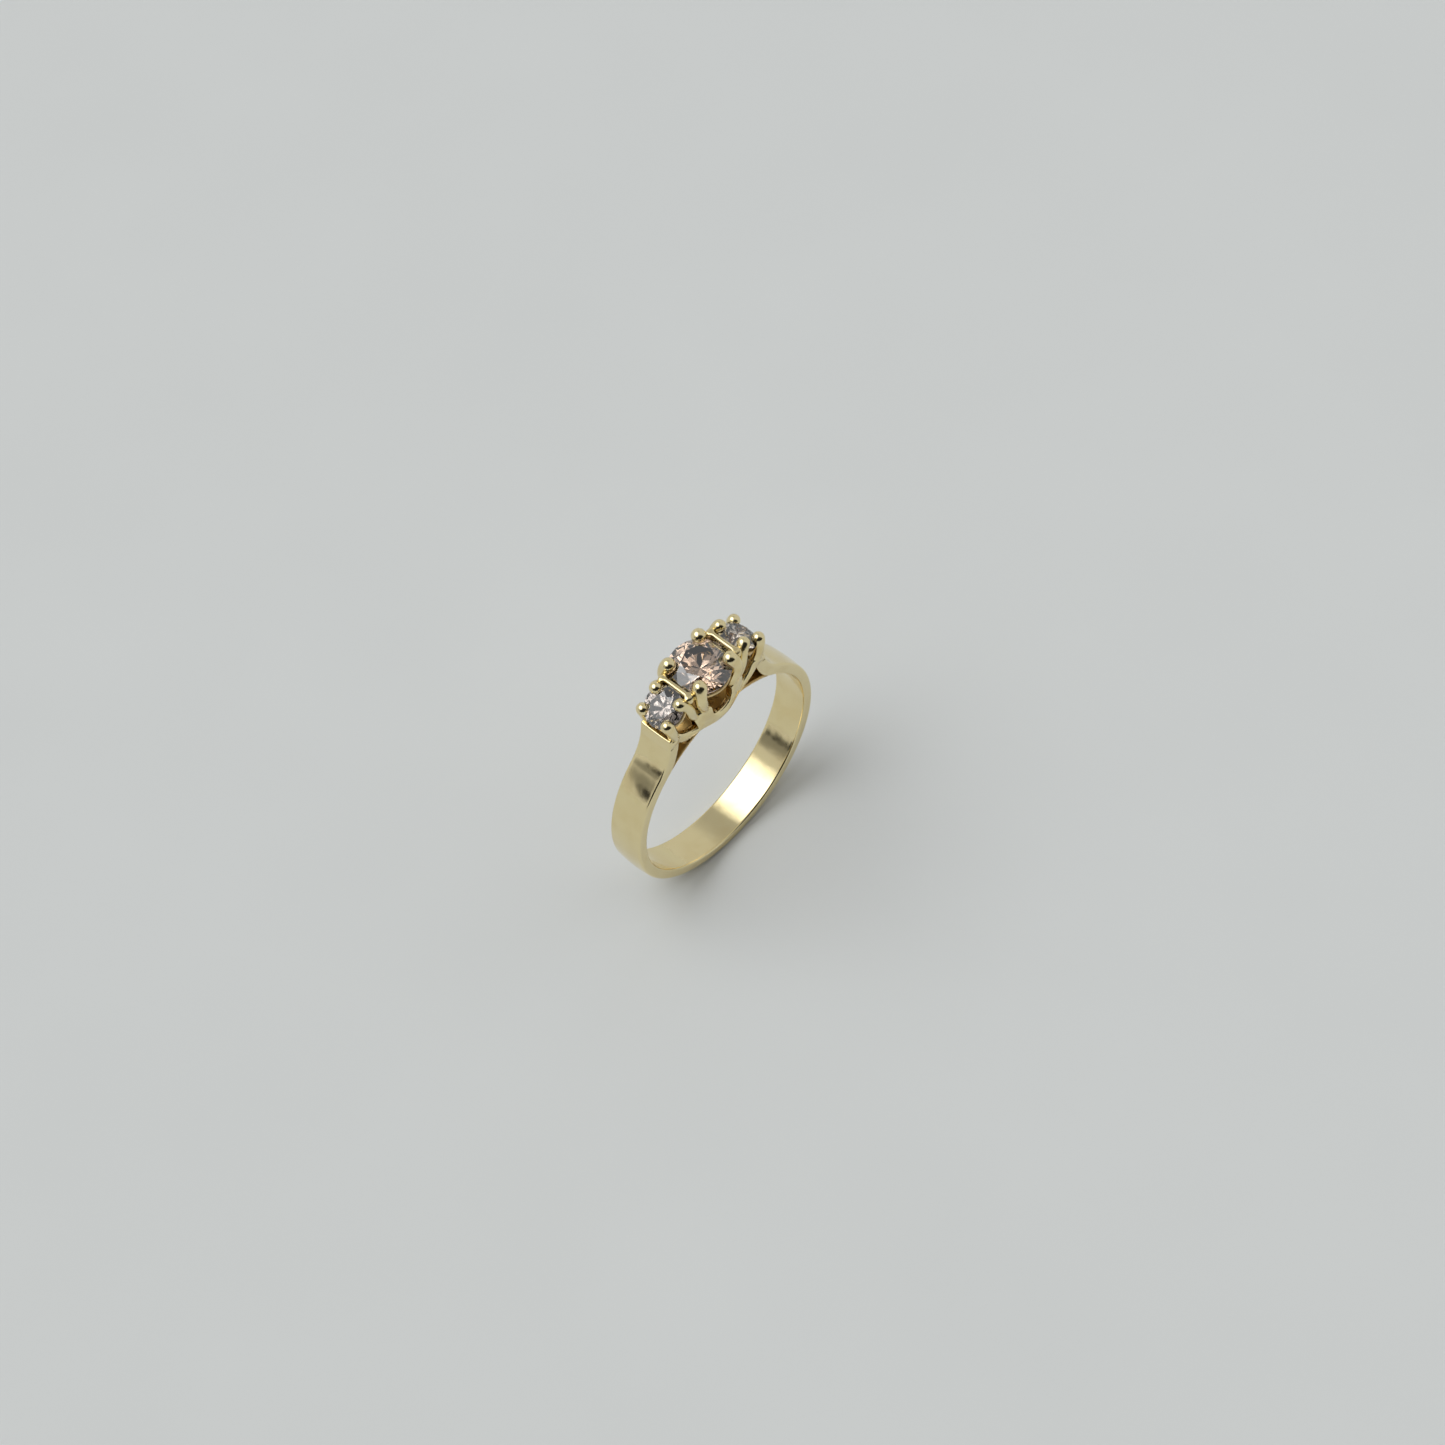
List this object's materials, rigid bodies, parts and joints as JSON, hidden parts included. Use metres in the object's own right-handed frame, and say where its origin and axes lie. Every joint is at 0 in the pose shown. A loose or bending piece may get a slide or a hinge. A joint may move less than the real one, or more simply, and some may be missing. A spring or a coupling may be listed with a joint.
{
  "type": "engagement ring",
  "caption": "Flat-band claw ring with rising shoulders, an openwork gallery over the finger hole and a row of three round brilliants.",
  "frame": {"origin": "centre of the finger hole, at the middle of the band's width", "axes": "+Z from the centre of the finger hole up to the stones, +X along the row of stones, +Y along the finger"},
  "size_m": [0.0188, 0.0046, 0.0235],
  "materials": {
    "gold": "polished",
    "center_diamond": "polished",
    "side_diamond": "polished"
  },
  "bodies": {
    "root": {"shank": "gold", "finger_rail": "gold", "front_gallery": "gold", "back_gallery": "gold", "left_end_wall": "gold", "right_end_wall": "gold", "left_cross_bar": "gold", "right_cross_bar": "gold", "center_collar": "gold", "left_collar": "gold", "right_collar": "gold", "center_claw_front_right": "gold", "inner_claw_front_right": "gold", "outer_claw_front_right": "gold", "center_claw_front_left": "gold", "inner_claw_front_left": "gold", "outer_claw_front_left": "gold", "center_claw_back_right": "gold", "inner_claw_back_right": "gold", "outer_claw_back_right": "gold", "center_claw_back_left": "gold", "inner_claw_back_left": "gold", "outer_claw_back_left": "gold", "center_stone": "center_diamond", "left_stone": "side_diamond", "right_stone": "side_diamond"}
  },
  "joints": []
}
